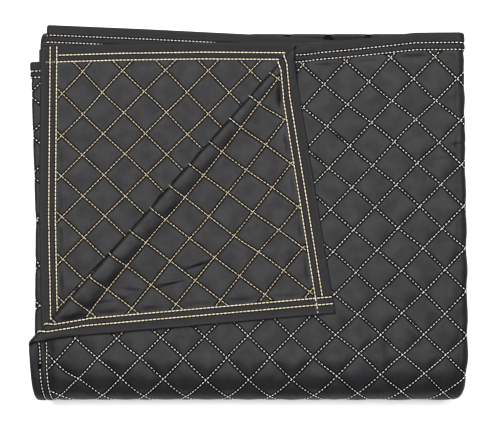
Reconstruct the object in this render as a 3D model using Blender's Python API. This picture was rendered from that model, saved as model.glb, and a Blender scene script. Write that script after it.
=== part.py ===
"""A quilted moving blanket, folded in four across and in four along, with one
corner of its top ply turned back. Metres, +Z up, +X to the right and +Y away.

The cloth is cut flat, with u across it and v along it. It is cut along its
stitch lines, its diamonds are raised, and each point is then folded: the corner
is turned, the width is folded in four, and that strip is folded in four.
"""

import math

import bmesh
import bpy
import numpy as np

# The cloth's thickness, as half of it, on each side of its middle surface
PLAIN_HALF = 0.0020
STITCHED_HALF = 0.0010
PUFFED_HALF = 0.0026
CREASED_HALF = 0.0016
EDGE_HALF = 0.0008

# The stack
PLY_PITCH = 0.0056
PLIES_IN_STRIP = 4
STRIP_PITCH = PLIES_IN_STRIP * PLY_PITCH
TOP_PLY_LEVEL = (PLIES_IN_STRIP - 1) / 2

# The quilting: diamonds with both diagonals this long, and one crossing of its lines
DIAMOND = 0.050
CROSSING_U = 0.394
CROSSING_V = 0.051

# The binding tape, folded round the cloth's edge
BINDING_WIDTH = 0.0195
BINDING_THICKNESS = 0.0008
BINDING_GAP = 0.0003
CLEAR_OF_BINDING = BINDING_WIDTH + 2 * BINDING_GAP
QUILTING_INSET = CLEAR_OF_BINDING + 0.0040

# The turned-back corner: where its bend starts along both edges, and its section
CREASE_ON_TOP_EDGE = 0.3134
CREASE_ON_LEFT_EDGE = 0.3506
CREASE_RAMP = 0.022
CREASE_RISE = 0.008
CREASE_ROLL_RADIUS = 0.004
CREASE_EASE = 0.026
FLAP_LIFT = 0.0058
FLAP_RUN = 1.0

# How far the corner of the top ply is drawn out of square, to the left and away
CORNER_REACH = 0.009
CORNER_RISE = 0.005

# The part of the fourth ply that the turned corner uncovers, along both edges
UNCOVERED_ACROSS = 0.350
UNCOVERED_ALONG = 0.400

# The share of the front roll that is quilted: the rest lies on the ground, flat
ROLL_QUILTED_SHARE = 0.8

# Steps along each bend of the cloth
BEND_SAMPLES = 96
CREASE_STEPS = 5
CREASE_RAMP_LINES = (1.0, 0.65, 0.35)
CREASE_EASE_LINES = (0.3, 0.5, 0.7, 1.0)
EDGE_SEARCH = 0.5
EDGE_SAMPLES = 501

# Cuts closer to a point than this pass through it. A face is raised at its centre if
# it has at least this share of a diamond, and a normal with at least this much height
CUT_SNAP = 0.0004
LEAST_RAISED_SHARE = 0.3
LEAST_LEVEL = 0.5

# A run of straight section before the cloth's first edge and after its last one
SPARE = 0.060

# The width's section: plies from its top to its bottom are 1, 4, 3, 2
WIDTH_START = -0.254
WIDTH_FOLDS = (
    # name, where the bend starts, the ply's level after it, its bulge, its steps
    ("outer right", 0.2436, -1.5, 0.0084, 6),
    ("left", -0.2500, -0.5, -0.0028, 5),
    ("inner right", 0.2370, 0.5, 0.0028, 5),
)
WIDTH_END = -0.243

# The length's section: strips from its top to its bottom are 1, 4, 3, 2
LENGTH_START = 0.197
LENGTH_FOLDS = (
    # name, where the bend starts, the strip's level after it, its bulge, its steps
    ("front roll", -0.162, 0, -0.053, 10),
    ("middle", 0.205, 1, 0.0112, 7),
    ("inner front", -0.170, 2, -0.0112, 7),
)
LENGTH_END = 0.200

# How far the folded cloth has slipped along its length, at its first and last edges
SLIP = (
    # name, place across the cloth, slip at the first edge, slip at the last edge
    ("corner", 0.000, -0.0090, 0.0000),
    ("crease", 0.300, 0.0030, 0.0000),
    ("right of the crease", 0.380, -0.0055, -0.0020),
    ("right end", 0.450, -0.0142, -0.0030),
    ("outer right fold", 0.520, -0.0155, -0.0040),
    ("middle of the second ply", 0.750, 0.0000, 0.0140),
    ("left of it", 0.900, 0.0100, 0.0213),
    ("left fold", 1.020, 0.0175, 0.0262),
    ("inner right fold", 1.515, -0.0060, -0.0060),
    ("right of the uncovered part", 1.690, -0.0038, -0.0038),
    ("uncovered part", 1.810, -0.0047, -0.0025),
    ("left of it", 1.910, -0.0032, -0.0012),
    ("far edge", 2.004, -0.0003, 0.0000),
)

# How far each fold of the width lies off its line, at places along the cloth
SIDE_DRIFT = (
    # name, place along the cloth, outer right, left, inner right, far edge
    ("first edge", 0.00, -0.0010, -0.0040, -0.0040, 0.0000),
    ("centre of the top", 0.20, 0.0026, 0.0020, 0.0000, -0.0020),
    ("front roll", 0.43, 0.0042, 0.0000, 0.0010, 0.0025),
    ("middle fold", 0.86, -0.0010, 0.0040, -0.0020, 0.0030),
    ("inner front fold", 1.27, 0.0010, 0.0050, 0.0000, 0.0080),
    ("last edge", 1.68, -0.0040, 0.0130, -0.0050, 0.0165),
)

CLOTH_COLOUR = (0.070, 0.068, 0.078, 1.0)
CLOTH_ROUGHNESS = 0.80
BINDING_COLOUR = (0.055, 0.053, 0.060, 1.0)
BINDING_ROUGHNESS = 0.70


class Section:
    """The cloth's line in one plane: straight runs joined by half-ellipse bends."""

    def __init__(self, start, level, heading):
        self.facing = heading
        self.heading = heading
        self.place = start - heading * SPARE
        self.level = level
        self.samples = []
        self.lengths = []
        self.bends = []
        self.add(self.place, level, 0, heading)

    def add(self, place, level, along, up):
        """One sample; along and up point out of the cloth's outer side."""
        size = math.hypot(along, up) * self.facing
        step = 0.0
        if self.samples:
            last = self.samples[-1]
            step = self.lengths[-1] + math.hypot(place - last[0], level - last[1])
        self.lengths.append(step)
        self.samples.append((place, level, along / size, up / size))

    def run_to(self, place):
        self.place = place
        self.add(place, self.level, 0, self.heading)

    def bend_to(self, level, bulge):
        middle = (self.level + level) / 2
        half = (self.level - level) / 2
        first = self.lengths[-1]
        for step in range(1, BEND_SAMPLES + 1):
            angle = math.pi * step / BEND_SAMPLES
            across = math.sin(angle)
            down = math.cos(angle)
            self.add(
                self.place + bulge * across,
                middle + half * down,
                half * across,
                bulge * down,
            )
        self.level = level
        self.heading = -self.heading
        self.bends.append((first - SPARE, self.lengths[-1] - SPARE))

    def end_at(self, place):
        self.length = self.lengths[-1] + abs(place - self.place) - SPARE
        self.run_to(place + self.heading * SPARE)
        self.columns = np.array(self.samples).T

    def at(self, length, offset):
        """The place this far along the cloth and this far off its middle."""
        values = [np.interp(length + SPARE, self.lengths, c) for c in self.columns]
        place, level, along, up = values
        return place + offset * along, level + offset * up


def width_section():
    section = Section(WIDTH_START, TOP_PLY_LEVEL * PLY_PITCH, 1)
    for _, place, level, bulge, _ in WIDTH_FOLDS:
        section.run_to(place)
        section.bend_to(level * PLY_PITCH, bulge)
    section.end_at(WIDTH_END)
    return section


def strip_level(number):
    """The height of the middle of a strip in the stack, counted from below."""
    return PLAIN_HALF + TOP_PLY_LEVEL * PLY_PITCH + number * STRIP_PITCH


def length_section():
    section = Section(LENGTH_START, strip_level(3), -1)
    for _, place, level, bulge, _ in LENGTH_FOLDS:
        section.run_to(place)
        section.bend_to(strip_level(level), bulge)
    section.end_at(LENGTH_END)
    return section


class Crease:
    """The turned corner: up a slope, half a turn about a slanting line, then down."""

    def __init__(self):
        top = CREASE_RISE + 2 * CREASE_ROLL_RADIUS
        rounds = np.linspace(0, math.pi, BEND_SAMPLES + 1)
        columns = [
            self.slope((-CREASE_RAMP, 0), (0, CREASE_RISE)),
            (
                CREASE_ROLL_RADIUS * np.sin(rounds),
                CREASE_RISE + CREASE_ROLL_RADIUS * (1 - np.cos(rounds)),
                rounds,
            ),
            self.slope((0, top), (-CREASE_EASE, FLAP_LIFT)),
            ([-CREASE_EASE - FLAP_RUN], [FLAP_LIFT], [math.pi]),
        ]
        reach, rise, tilt = np.concatenate(columns, axis=1)
        steps = np.hypot(np.diff(reach), np.diff(rise))
        lengths = np.concatenate([[0.0], np.cumsum(steps)])
        self.ramp_length = lengths[BEND_SAMPLES]
        self.round_length = math.pi * CREASE_ROLL_RADIUS
        self.lengths = lengths - self.ramp_length
        self.ease_length = self.lengths[-2] - self.round_length
        reach = reach + self.lengths[0] - reach[0]
        self.turned_back = self.lengths[-2] + reach[-2]
        self.columns = np.array([reach, rise, tilt])
        size = math.hypot(CREASE_ON_TOP_EDGE, CREASE_ON_LEFT_EDGE)
        self.to_corner = (-CREASE_ON_LEFT_EDGE / size, -CREASE_ON_TOP_EDGE / size)

    def slope(self, start, end):
        """Reach, rise and tilt along a soft slope between two places of the section."""
        share = np.linspace(0, 1, BEND_SAMPLES + 1)
        run = end[0] - start[0]
        climb = end[1] - start[1]
        rise = start[1] + climb * share**2 * (3 - 2 * share)
        tilt = np.arctan2(6 * climb * share * (1 - share), run)
        return start[0] + run * share, rise, np.mod(tilt, 2 * math.pi)

    def past(self, a, b):
        """How far a place on the flat cloth lies past the line where the bend starts."""
        along_a = (a - CREASE_ON_TOP_EDGE) * self.to_corner[0]
        return along_a + b * self.to_corner[1]

    def turn(self, a, b, offset):
        """Turns the corner over, and gives each place its height off the ply."""
        past = self.past(a, b)
        reach, rise, tilt = [np.interp(past, self.lengths, c) for c in self.columns]
        bent = past > -self.ramp_length
        shift = np.where(bent, reach - past - offset * np.sin(tilt), 0)
        height = np.where(bent, rise + offset * np.cos(tilt), offset)
        return a + shift * self.to_corner[0], b + shift * self.to_corner[1], height


WIDTH = width_section()
LENGTH = length_section()
CREASE = Crease()


def slipped(u, v):
    """Where a point of the cut cloth lies along both sections."""
    top_end = 1 - v / LENGTH.bends[0][0]
    left_end = 1 - u / WIDTH.bends[0][0]
    corner = np.clip(left_end, 0, 1) * np.clip(top_end, 0, 1)
    places = [row[1] for row in SLIP]
    first = np.interp(u, places, [row[2] for row in SLIP])
    last = np.interp(u, places, [row[3] for row in SLIP])
    last_end = (v - LENGTH.bends[-1][1]) / (LENGTH.length - LENGTH.bends[-1][1])
    slip = first * np.clip(top_end, 0, 1) + last * np.clip(last_end, 0, 1)
    return u - CORNER_REACH * corner, v - CORNER_RISE * corner + slip


def side_drift(u, v):
    """How far a point lies to the right of its place in the width's section."""
    places = [row[1] for row in SIDE_DRIFT]
    bounds = [0.0]
    values = [np.zeros_like(v)]
    for number, bend in enumerate(WIDTH.bends):
        drift = np.interp(v, places, [row[2 + number] for row in SIDE_DRIFT])
        bounds += bend
        values += [drift, drift]
    bounds.append(WIDTH.length)
    values.append(np.interp(v, places, [row[-1] for row in SIDE_DRIFT]))
    total = values[0]
    for low, high, before, after in zip(bounds, bounds[1:], values, values[1:]):
        share = np.clip((u - low) / (high - low), 0, 1)
        total = total + share * (after - before)
    return total


def folded(u, v, offset):
    """The place in the stack of each point of the flat cloth."""
    a, b = slipped(u, v)
    a, b, height = CREASE.turn(a, b, offset)
    x, strip_offset = WIDTH.at(a, height)
    y, z = LENGTH.at(b, strip_offset)
    return np.stack([x + side_drift(u, v), y, z], axis=1)


def puff(u, v):
    """How high a diamond stands here: 0 on its stitches and 1 at its centre."""
    one = (u - CROSSING_U + v - CROSSING_V) / DIAMOND
    other = (u - CROSSING_U - v + CROSSING_V) / DIAMOND
    nearest = np.minimum(abs(one - np.round(one)), abs(other - np.round(other)))
    return 2 * nearest


def everywhere(u, v):
    return True


def near_the_corner(u, v):
    return u < WIDTH.bends[0][0] and v < LENGTH.bends[0][1]


def on_top(u, v):
    start, end = LENGTH.bends[0]
    across = QUILTING_INSET < u < WIDTH.bends[0][1]
    return across and QUILTING_INSET < v < start + ROLL_QUILTED_SHARE * (end - start)


def uncovered(u, v):
    """The part of the fourth ply that shows where the corner is turned back."""
    inward = WIDTH.length - u
    if min(inward, v) < QUILTING_INSET:
        return False
    return inward / UNCOVERED_ACROSS + v / UNCOVERED_ALONG < 1


def quilted(u, v):
    return on_top(u, v) or uncovered(u, v)


def cut(bm, place, normal, chosen):
    """Cuts the faces whose centre is chosen, along an upright plane."""
    faces = [face for face in bm.faces if chosen(*face.calc_center_median()[:2])]
    edges = {edge for face in faces for edge in face.edges}
    points = {point for face in faces for point in face.verts}
    bmesh.ops.bisect_plane(
        bm,
        geom=faces + list(edges) + list(points),
        dist=CUT_SNAP,
        plane_co=(*place, 0),
        plane_no=(*normal, 0),
    )


def steps_of(bend, steps):
    start, end = bend
    return [start + (end - start) * number / steps for number in range(steps + 1)]


def cut_crease(bm, past):
    """Cuts along the line of the flat cloth that lies this far past the bend's start."""
    places = np.linspace(0, EDGE_SEARCH, EDGE_SAMPLES)
    edge = np.zeros(EDGE_SAMPLES)
    from_top = CREASE.past(*slipped(places, edge))
    from_left = CREASE.past(*slipped(edge, places))
    on_top_edge = np.interp(-past, -from_top, places)
    on_left_edge = np.interp(-past, -from_left, places)
    cut(bm, (on_top_edge, 0), (on_left_edge, on_top_edge), near_the_corner)


def cut_along_folds(bm):
    """Every piece is cut along the same lines, so that its neighbours fit it."""
    for bend, fold in zip(WIDTH.bends, WIDTH_FOLDS):
        for u in steps_of(bend, fold[-1]):
            cut(bm, (u, 0), (1, 0), everywhere)
    for bend, fold in zip(LENGTH.bends, LENGTH_FOLDS):
        for v in steps_of(bend, fold[-1]):
            cut(bm, (0, v), (0, 1), everywhere)
    for row in SLIP[1:-1]:
        cut(bm, (row[1], 0), (1, 0), everywhere)
    for row in SIDE_DRIFT[1:-1]:
        cut(bm, (0, row[1]), (0, 1), everywhere)
    for share in CREASE_RAMP_LINES:
        cut_crease(bm, -share * CREASE.ramp_length)
    for past in steps_of((0, CREASE.round_length), CREASE_STEPS):
        cut_crease(bm, past)
    for share in CREASE_EASE_LINES:
        cut_crease(bm, CREASE.round_length + share * CREASE.ease_length)


def cut_edges(bm):
    for inset in (CLEAR_OF_BINDING, QUILTING_INSET):
        for u in (inset, WIDTH.length - inset):
            cut(bm, (u, 0), (1, 0), everywhere)
        for v in (inset, LENGTH.length - inset):
            cut(bm, (0, v), (0, 1), everywhere)


def cut_stitch_lines(bm, chosen, centre_u, centre_v, reach):
    """Cuts both slanting families of stitch lines that cross this part of the cloth."""
    for lean in (1, -1):
        middle = centre_u - CROSSING_U + lean * (centre_v - CROSSING_V)
        first = math.floor((middle - reach) / DIAMOND)
        last = math.ceil((middle + reach) / DIAMOND)
        for number in range(first, last + 1):
            cut(bm, (CROSSING_U + number * DIAMOND, CROSSING_V), (1, lean), chosen)


def raise_centres(bm):
    """Gives each diamond a point at its centre, so that it can stand up there."""
    least = LEAST_RAISED_SHARE * DIAMOND**2 / 2
    faces = [f for f in bm.faces if abs(f.normal.z) > LEAST_LEVEL]
    faces = [f for f in faces if f.calc_area() > least]
    faces = [f for f in faces if quilted(*f.calc_center_median()[:2])]
    bmesh.ops.poke(bm, faces=faces, center_mode="MEAN")


def within(values, bends):
    found = np.zeros(len(values), bool)
    for start, end in bends:
        found |= (values > start - CUT_SNAP) & (values < end + CUT_SNAP)
    return found


def half_thickness(u, v):
    half = np.full(len(u), PLAIN_HALF)
    raised = np.array([quilted(*place) for place in zip(u, v)])
    puffed = STITCHED_HALF + (PUFFED_HALF - STITCHED_HALF) * puff(u, v)
    half = np.where(raised, puffed, half)
    tight = within(u, WIDTH.bends[1:]) | within(v, LENGTH.bends[1:])
    half = np.where(tight, CREASED_HALF, half)
    inward = np.minimum(
        np.minimum(u, WIDTH.length - u), np.minimum(v, LENGTH.length - v)
    )
    return np.where(inward < CLEAR_OF_BINDING + CUT_SNAP, EDGE_HALF, half)


def points_of(bm):
    return np.array([point.co[:] for point in bm.verts]).T


def fold_up(bm, u, v, offset):
    """Folds a flat piece; v runs towards -Y, so its faces are turned to face out."""
    bmesh.ops.recalc_face_normals(bm, faces=bm.faces)
    bmesh.ops.reverse_faces(bm, faces=bm.faces)
    for point, place in zip(bm.verts, folded(u, v, offset)):
        point.co = place


def cloth_panel():
    """The quilted cloth, as one closed solid."""
    bm = bmesh.new()
    bmesh.ops.create_cube(bm, size=2)
    for point in bm.verts:
        point.co.x = WIDTH.length * (point.co.x > 0)
        point.co.y = LENGTH.length * (point.co.y > 0)
    cut_edges(bm)
    cut_along_folds(bm)
    cut(bm, (WIDTH.length - UNCOVERED_ACROSS, 0), (1, 0), everywhere)
    cut(bm, (0, UNCOVERED_ALONG), (0, 1), everywhere)
    top_middle = (WIDTH.bends[0][1] / 2, LENGTH.bends[0][1] / 2)
    cut_stitch_lines(bm, on_top, *top_middle, sum(top_middle))
    far_u = WIDTH.length - UNCOVERED_ACROSS / 2
    far_reach = (UNCOVERED_ACROSS + UNCOVERED_ALONG) / 2
    cut_stitch_lines(bm, uncovered, far_u, UNCOVERED_ALONG / 2, far_reach)
    raise_centres(bm)
    bmesh.ops.triangulate(bm, faces=bm.faces)
    u, v, side = points_of(bm)
    fold_up(bm, u, v, np.sign(side) * half_thickness(u, v))
    return bm


def binding_outline():
    """The tape's section: how far inward of the cloth's edge, and how far off it."""
    inner = EDGE_HALF + BINDING_GAP
    outer = inner + BINDING_THICKNESS
    back = -BINDING_GAP - BINDING_THICKNESS
    outside = [(BINDING_WIDTH, outer), (0, outer), (back, inner)]
    inside = [(BINDING_WIDTH, inner), (-BINDING_GAP, inner)]
    above = outside[::-1] + inside
    below = [(inward, -offset) for inward, offset in reversed(above)]
    return above + below


def binding(length, place):
    """One tape; place gives the flat cloth's u and v for a length and a depth."""
    bm = bmesh.new()
    outline = binding_outline()
    ends = []
    for along in length:
        ends.append([bm.verts.new((*place(along, d), h)) for d, h in outline])
    count = len(outline)
    for k in range(count):
        following = (k + 1) % count
        corners = (ends[0][k], ends[0][following], ends[1][following], ends[1][k])
        bm.faces.new(corners)
    bm.faces.new(ends[0])
    bm.faces.new(ends[1][::-1])
    cut_along_folds(bm)
    bmesh.ops.triangulate(bm, faces=bm.faces)
    fold_up(bm, *points_of(bm))
    return bm


def fabric(name, colour, roughness):
    material = bpy.data.materials.new(name)
    material.use_nodes = True
    shader = material.node_tree.nodes["Principled BSDF"]
    shader.inputs["Base Color"].default_value = colour
    shader.inputs["Roughness"].default_value = roughness
    shader.inputs["Metallic"].default_value = 0.0
    return material


def centre_on_origin(pieces):
    """Moves the whole stack so that the middle of its box is over the origin."""
    points = np.concatenate([points_of(bm) for bm in pieces], axis=1)
    middle = (points.min(axis=1) + points.max(axis=1)) / 2
    for bm in pieces:
        bmesh.ops.translate(bm, verts=bm.verts, vec=(-middle[0], -middle[1], 0))


def add_object(name, bm, material):
    mesh = bpy.data.meshes.new(name)
    bm.to_mesh(mesh)
    bm.free()
    mesh.materials.append(material)
    bpy.context.scene.collection.objects.link(bpy.data.objects.new(name, mesh))


def bindings():
    """The four tapes: those of both sides run through at the corners."""
    back = BINDING_GAP + BINDING_THICKNESS
    whole = (-back, LENGTH.length + back)
    between = BINDING_WIDTH + BINDING_GAP
    short = (between, WIDTH.length - between)
    return {
        "binding_corner_side": binding(whole, lambda v, inward: (inward, v)),
        "binding_far_side": binding(
            whole, lambda v, inward: (WIDTH.length - inward, v)
        ),
        "binding_first_end": binding(short, lambda u, inward: (u, inward)),
        "binding_last_end": binding(
            short, lambda u, inward: (u, LENGTH.length - inward)
        ),
    }


def main():
    for obj in list(bpy.data.objects):
        bpy.data.objects.remove(obj)
    pieces = {"quilt_panel": cloth_panel(), **bindings()}
    centre_on_origin(pieces.values())
    for name, bm in pieces.items():
        if name == "quilt_panel":
            material = fabric("quilted_cloth", CLOTH_COLOUR, CLOTH_ROUGHNESS)
        else:
            material = fabric(name + "_tape", BINDING_COLOUR, BINDING_ROUGHNESS)
        add_object(name, bm, material)


main()
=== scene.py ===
"""The looks of the folded, quilted moving blanket, in metres and in the CAD frame.

The cloth is laid out flat, with u across it and v along it, its diamonds are
puffed and its creases pressed in, and each point is then folded as the CAD
solids are. Tapes and stitches follow the same folds.
"""

import math

import bpy
import numpy as np
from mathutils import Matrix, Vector
from mathutils.bvhtree import BVHTree


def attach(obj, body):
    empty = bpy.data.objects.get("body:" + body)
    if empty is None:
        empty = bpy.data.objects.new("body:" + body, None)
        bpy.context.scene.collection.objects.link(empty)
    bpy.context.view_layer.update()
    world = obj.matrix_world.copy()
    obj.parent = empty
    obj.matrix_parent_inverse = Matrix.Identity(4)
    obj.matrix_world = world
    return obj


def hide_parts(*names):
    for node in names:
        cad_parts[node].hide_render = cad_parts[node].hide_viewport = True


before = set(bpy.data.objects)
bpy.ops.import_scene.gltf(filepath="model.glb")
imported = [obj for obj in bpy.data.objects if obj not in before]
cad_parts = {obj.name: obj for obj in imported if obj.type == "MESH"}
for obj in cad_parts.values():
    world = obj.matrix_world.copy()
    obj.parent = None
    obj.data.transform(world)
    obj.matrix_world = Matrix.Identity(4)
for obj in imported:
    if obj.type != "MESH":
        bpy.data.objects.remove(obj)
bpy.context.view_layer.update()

# The stack, as in the CAD source
PLY_PITCH = 0.0056
STRIP_PITCH = 4 * PLY_PITCH
TOP_PLY_LEVEL = 1.5
TOP_STRIP = 3
PLAIN_HALF = 0.0020
EDGE_HALF = 0.0008
CREASED_HALF = 0.0016
STACK_X = 0.00022
STACK_Y = -0.00083

# The cloth's line: the steps of each bend, and how far it runs on past both edges
BEND_SAMPLES = 96
SPARE = 0.060

# The width's section: plies from its top to its bottom are 1, 4, 3, 2
WIDTH_START = -0.254
WIDTH_FOLDS = (
    # name, where the bend starts, the ply's level after it, its bulge
    ("outer right", 0.2436, -1.5, 0.0084),
    ("left", -0.2500, -0.5, -0.0028),
    ("inner right", 0.2370, 0.5, 0.0028),
)
WIDTH_END = -0.243

# The length's section: strips from its top to its bottom are 1, 4, 3, 2
LENGTH_START = 0.197
LENGTH_FOLDS = (
    # name, where the bend starts, the strip's level after it, its bulge
    ("front roll", -0.162, 0, -0.053),
    ("middle", 0.205, 1, 0.0112),
    ("inner front", -0.170, 2, -0.0112),
)
LENGTH_END = 0.200

# The turned-back corner: where its bend starts along both edges, and its section
CREASE_ON_TOP_EDGE = 0.3134
CREASE_ON_LEFT_EDGE = 0.3506
CREASE_RAMP = 0.022
CREASE_RISE = 0.008
CREASE_ROLL_RADIUS = 0.004
CREASE_EASE = 0.026
CREASE_STEEPEST = math.radians(25.8)
CREASE_EASING = 1.2
FLAP_LIFT = 0.0058
FLAP_RUN = 1.0
CORNER_REACH = 0.009
CORNER_RISE = 0.005

# How much of the puff is pressed out at the crease, the right rim and low on the roll,
# and how far beside them
PRESSED = 0.6
CREASE_MARGIN = 0.012
RIM_MARGIN = 0.008
ROLL_RIM = (0.415, 0.455)
ROLL_RIM_MARGIN = 0.020

# How far from the other folds, and from the tape, the quilt has its usual thickness
TIGHT_MARGIN = 0.012
EDGE_MARGIN = 0.009

# How far the folded cloth has slipped along its length, at its first and last edges
SLIP = (
    # name, place across the cloth, slip at the first edge, slip at the last edge
    ("corner", 0.000, -0.0090, 0.0000),
    ("crease", 0.300, 0.0030, 0.0000),
    ("right of the crease", 0.380, -0.0055, -0.0020),
    ("right end", 0.450, -0.0142, -0.0030),
    ("outer right fold", 0.520, -0.0155, -0.0040),
    ("middle of the second ply", 0.750, 0.0000, 0.0140),
    ("left of it", 0.900, 0.0100, 0.0213),
    ("left fold", 1.020, 0.0175, 0.0262),
    ("inner right fold", 1.515, -0.0060, -0.0060),
    ("right of the uncovered part", 1.690, -0.0038, -0.0038),
    ("uncovered part", 1.810, -0.0047, -0.0025),
    ("left of it", 1.910, -0.0032, -0.0012),
    ("far edge", 2.004, -0.0003, 0.0000),
)

# How far each fold of the width lies off its line, at places along the cloth
SIDE_DRIFT = (
    # name, place along the cloth, outer right, left, inner right, far edge
    ("first edge", 0.00, -0.0010, -0.0040, -0.0040, 0.0000),
    ("centre of the top", 0.20, 0.0026, 0.0020, 0.0000, -0.0020),
    ("front roll", 0.43, 0.0042, 0.0000, 0.0010, 0.0025),
    ("above the middle fold", 0.80, -0.0003, 0.0034, -0.0016, 0.0029),
    ("middle fold, tucked in", 0.88, -0.0009, 0.0100, -0.0019, 0.0032),
    ("below the middle fold", 0.93, -0.0007, 0.0042, -0.0017, 0.0039),
    ("inner front fold", 1.27, 0.0010, 0.0050, 0.0000, 0.0080),
    ("last edge", 1.68, -0.0040, 0.0130, -0.0050, 0.0165),
)

# The quilting
DIAMOND = 0.050
CROSSING_U = 0.394
CROSSING_V = 0.051
DRIFT_REACH = 0.025
STITCHED_HALF = 0.0009
PUFFED_HALF = 0.0026
EXPOSED_PUFF = 0.0010
PUFF_STEEPNESS = 2.6
PUFF_VARIES = 0.16
ROLL_QUILTED_SHARE = 0.8

# The top ply's slack, the share of the roll that it reaches, and its loss under the flap
LOOSE = 0.0005
RUFFLED = 0.0004
LOOSE_SHARE_OF_ROLL = 0.6
LOST_UNDER_FLAP = 0.25

# Random unevenness: its lattice, the diamonds' seed, and size and seed of each kind of lump
LATTICE = 64
DIAMONDS_SEED = 5
LOOSE_LUMPS = (0.055, 11)
RUFFLED_LUMPS = (0.014, 12)
TAPE_LUMPS = (0.011, 21)

# How far the quilting lies off its even pattern, at places in that pattern
QUILTING_DRIFT = (
    # name, u, v, drift in u, drift in v
    ("top, beside the crease", 0.344, 0.051, 0.0005, -0.0035),
    ("top", 0.394, 0.051, 0.0020, -0.0020),
    ("top, right", 0.470, 0.051, 0.0030, 0.0005),
    ("upper, by the flap", 0.369, 0.126, 0.0035, -0.0055),
    ("upper middle", 0.419, 0.126, 0.0050, -0.0065),
    ("upper right", 0.482, 0.126, 0.0065, -0.0035),
    ("middle, by the flap", 0.344, 0.201, 0.0050, -0.0085),
    ("middle", 0.394, 0.201, 0.0065, -0.0090),
    ("middle, right", 0.469, 0.201, 0.0080, -0.0070),
    ("lower, by the flap", 0.369, 0.276, 0.0085, -0.0105),
    ("lower, right", 0.444, 0.276, 0.0120, -0.0110),
    ("right end", 0.494, 0.301, 0.0105, -0.0120),
    ("above roll", 0.294, 0.351, 0.0080, -0.0135),
    ("above roll, right", 0.410, 0.351, 0.0115, -0.0135),
    ("above roll, left", 0.094, 0.351, 0.0060, -0.0095),
    ("on roll, left end", 0.019, 0.376, 0.0090, -0.0085),
    ("on roll, left", 0.094, 0.401, 0.0095, -0.0160),
    ("on roll, right", 0.394, 0.401, 0.0115, -0.0200),
    ("low on roll, left", 0.044, 0.426, 0.0110, -0.0185),
    ("low on roll, right", 0.419, 0.430, 0.0130, -0.0240),
    ("flap, by its corner", 0.026, 0.026, 0.0070, -0.0025),
    ("flap, beside its corner", 0.044, 0.051, 0.0095, -0.0020),
    ("flap, right", 0.119, 0.026, 0.0050, -0.0045),
    ("flap, upper right", 0.219, 0.026, 0.0055, -0.0055),
    ("flap, top", 0.244, 0.051, 0.0020, -0.0020),
    ("flap, middle", 0.119, 0.101, 0.0035, -0.0025),
    ("flap, beside the crease", 0.194, 0.101, 0.0015, -0.0020),
    ("flap, low", 0.044, 0.151, 0.0070, -0.0020),
    ("flap, left", 0.069, 0.226, 0.0065, -0.0020),
    ("uncovered, left end", 1.994, 0.051, -0.0170, 0.0045),
    ("uncovered, top", 1.919, 0.026, -0.0130, 0.0045),
    ("uncovered, right", 1.819, 0.060, -0.0140, 0.0060),
    ("uncovered, middle", 1.894, 0.101, -0.0150, 0.0030),
    ("uncovered, low", 1.919, 0.151, -0.0165, 0.0005),
    ("uncovered, lower", 1.944, 0.226, -0.0180, -0.0020),
    ("left fold, upper", 1.019, 0.101, 0.0010, 0.0130),
    ("left fold, lower", 1.019, 0.250, 0.0100, 0.0250),
    ("second ply, last edge", 0.980, 1.650, -0.0175, 0.0060),
)

# The tape round the edges, and its two rows of stitches
TAPE_WIDTH = 0.0195
TAPE_THICKNESS = 0.0008
TAPE_GAP = 0.0003
CLEAR_OF_TAPE = TAPE_WIDTH + 2 * TAPE_GAP
OUTER_ROW = 0.0106
INNER_ROW = 0.0184
TAPE_STEP = 0.0022

# The tape's section: its puffed parts, the fall beside them, its rows and its rounded edges
TAPE_PUFF = 0.0006
TAPE_PUFF_VARIES = 0.25
TAPE_LUMPS_LINE = 0.3
FALL_BETWEEN_ROWS = 0.0003
FALL_BESIDE_ROWS = 0.0002
PUFFED_BESIDE_ROWS = (0.75, 0.45, 0.15)
ROW_DIMPLE = 0.0004
SEAM_ROUNDING = 0.0003
SEAM_BEVEL = 0.0001
EDGE_ROUNDING = 0.55

# How far from the corners the rows start: the sides' rows run through the ends' tape
SIDE_ROWS_START = 0.002
INNER_END_ROW_START = 0.003
OUTER_END_ROW_START = 0.022

# The threads, and how far the quilting's run in under the tape
STITCH_PITCH = 0.0044
UNDER_TAPE = 0.001
RESTING = 0.0001
THREAD_STATIONS = (
    # share of the half length, height over the cloth, share of the radius
    (-1.0, -0.0004, 0.35),
    (-0.6, 0.0004, 1.0),
    (0.6, 0.0004, 1.0),
    (1.0, -0.0004, 0.35),
)
LINES_EACH_WAY = 80
THREADS = (
    # name, side, radius and share of the pitch in the quilting, and in the tape's rows
    ("outer", 1, 0.00041, 0.33, 0.00046, 0.34),
    ("inner", -1, 0.00037, 0.44, 0.00070, 0.47),
)

# A thread shows where nothing lies this close over it, and not by the middle fold
FREE_SPACE = 0.030
FREE_SPACE_START = 0.0016
FOLD_MARGIN = 0.006
NORMAL_STEP = 0.001

# The cloth's mesh: cells of half a diamond, and the parts that a cell has each way
CELL = DIAMOND / 2
PARTS = 16
USUAL_PARTS = 8
COARSE_PARTS = 4
NARROWEST_CELL = CELL / 8

# Where the mesh is finer: round a cell, at narrow creases, on the flap, beside the folds
CELL_SURROUNDINGS = 0.7 * CELL
NARROW_CREASE = 0.003
FINE_BEFORE_CREASE = 0.020
FINE_UNCOVERED_U = 0.40
FINE_UNCOVERED_V = 0.45
FINE_BY_RIM = 0.03
FINE_BY_FOLD = 0.02

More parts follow.
